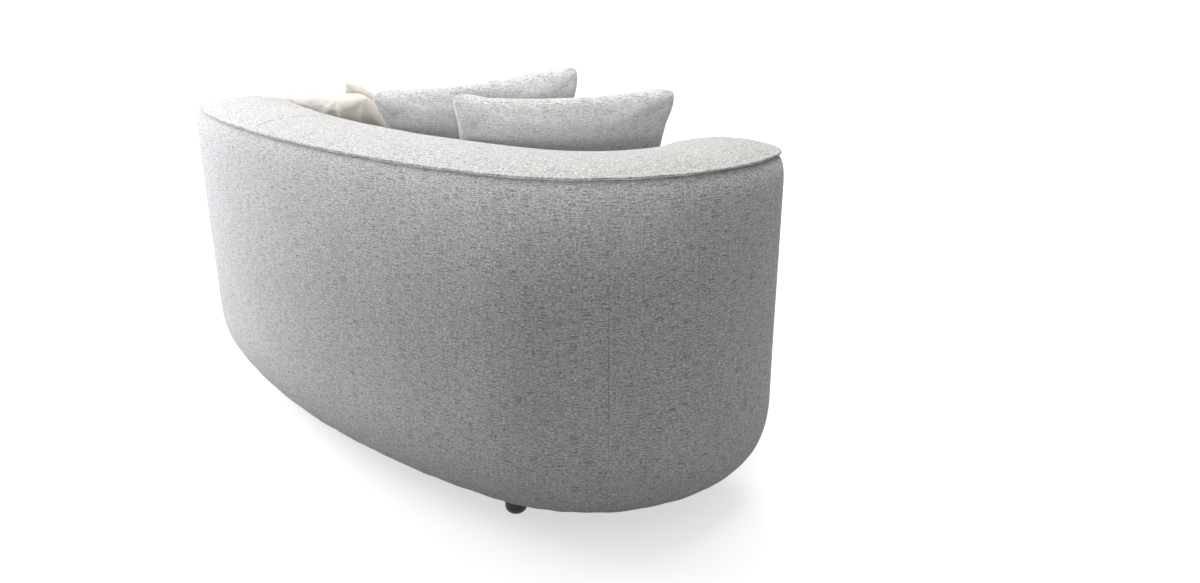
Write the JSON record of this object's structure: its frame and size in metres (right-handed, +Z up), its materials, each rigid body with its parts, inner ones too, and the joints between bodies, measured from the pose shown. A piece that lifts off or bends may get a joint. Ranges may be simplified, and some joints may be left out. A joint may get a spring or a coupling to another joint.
{
  "type": "chaise longue",
  "caption": "Upholstered chaise longue with a curved back that wraps into a rounded arm end, a crowned top rail, a loose seat cushion and scatter cushions, on low bun feet.",
  "frame": {"origin": "on the floor, under the middle of the chaise's outline", "axes": "+X along the length from the arm end to the open foot end, +Y towards the back, +Z up"},
  "size_m": [1.6538, 0.8832, 0.8458],
  "materials": {
    "wall_fabric": "matte",
    "seat_fabric": "matte",
    "grey_cushion_fabric": "matte",
    "cream_cushion_fabric": "matte",
    "foam": "matte",
    "fibre_fill": "matte",
    "plywood": "matte",
    "webbing": "matte",
    "felt": "matte",
    "deck_lining": "matte",
    "black_lining": "matte",
    "black_plastic": "satin",
    "glide_plastic": "matte",
    "steel": "satin"
  },
  "bodies": {
    "frame": {"outer_arm_cover": "wall_fabric", "outer_back_cover": "wall_fabric", "inner_back_cover": "wall_fabric", "border_cover": "wall_fabric", "top_cover_main": "wall_fabric", "top_cover_end": "wall_fabric", "top_flange": "wall_fabric", "back_wrap": "foam", "border_wrap": "foam", "inner_back_pad": "foam", "top_pad_foam": "foam", "outer_skin": "plywood", "inner_skin": "plywood", "back_ribs": "plywood", "border_ribs": "plywood", "top_plate": "plywood", "base_board": "plywood", "seat_platform": "plywood", "support_posts": "plywood", "webbing_cross": "webbing", "webbing_long": "webbing", "deck_felt": "felt", "deck_cloth": "deck_lining", "dust_cover": "black_lining", "feet": "black_plastic", "foot_glides": "glide_plastic", "foot_bolts": "steel", "foot_nuts": "steel", "top_screws": "steel", "platform_screws": "steel"},
    "seat_cushion": {"seat_cover": "seat_fabric", "seat_core": "foam", "seat_welts": "seat_fabric"},
    "cushion_a": {"cushion_a_cover": "grey_cushion_fabric", "cushion_a_fill": "fibre_fill"},
    "cushion_b": {"cushion_b_cover": "grey_cushion_fabric", "cushion_b_fill": "fibre_fill"},
    "cushion_c": {"cushion_c_cover": "cream_cushion_fabric", "cushion_c_fill": "fibre_fill"},
    "cushion_d": {"cushion_d_cover": "cream_cushion_fabric", "cushion_d_fill": "fibre_fill"}
  },
  "joints": [
    {"name": "seat_cushion_lift", "type": "slide", "parent": "frame", "child": "seat_cushion", "axis": [0, 0, 1], "range_m": [0, 0.5]},
    {"name": "cushion_a_lift", "type": "slide", "parent": "seat_cushion", "child": "cushion_a", "axis": [-0.4265, 0.3703, 0.8252], "range_m": [0, 0.45]},
    {"name": "cushion_b_lift", "type": "slide", "parent": "seat_cushion", "child": "cushion_b", "axis": [-0.4243, 0.2559, 0.8686], "range_m": [0, 0.45]},
    {"name": "cushion_c_lift", "type": "slide", "parent": "seat_cushion", "child": "cushion_c", "axis": [0, 0, 1], "range_m": [0, 0.4]},
    {"name": "cushion_d_lift", "type": "slide", "parent": "cushion_c", "child": "cushion_d", "axis": [0, 0, 1], "range_m": [0, 0.4]}
  ]
}
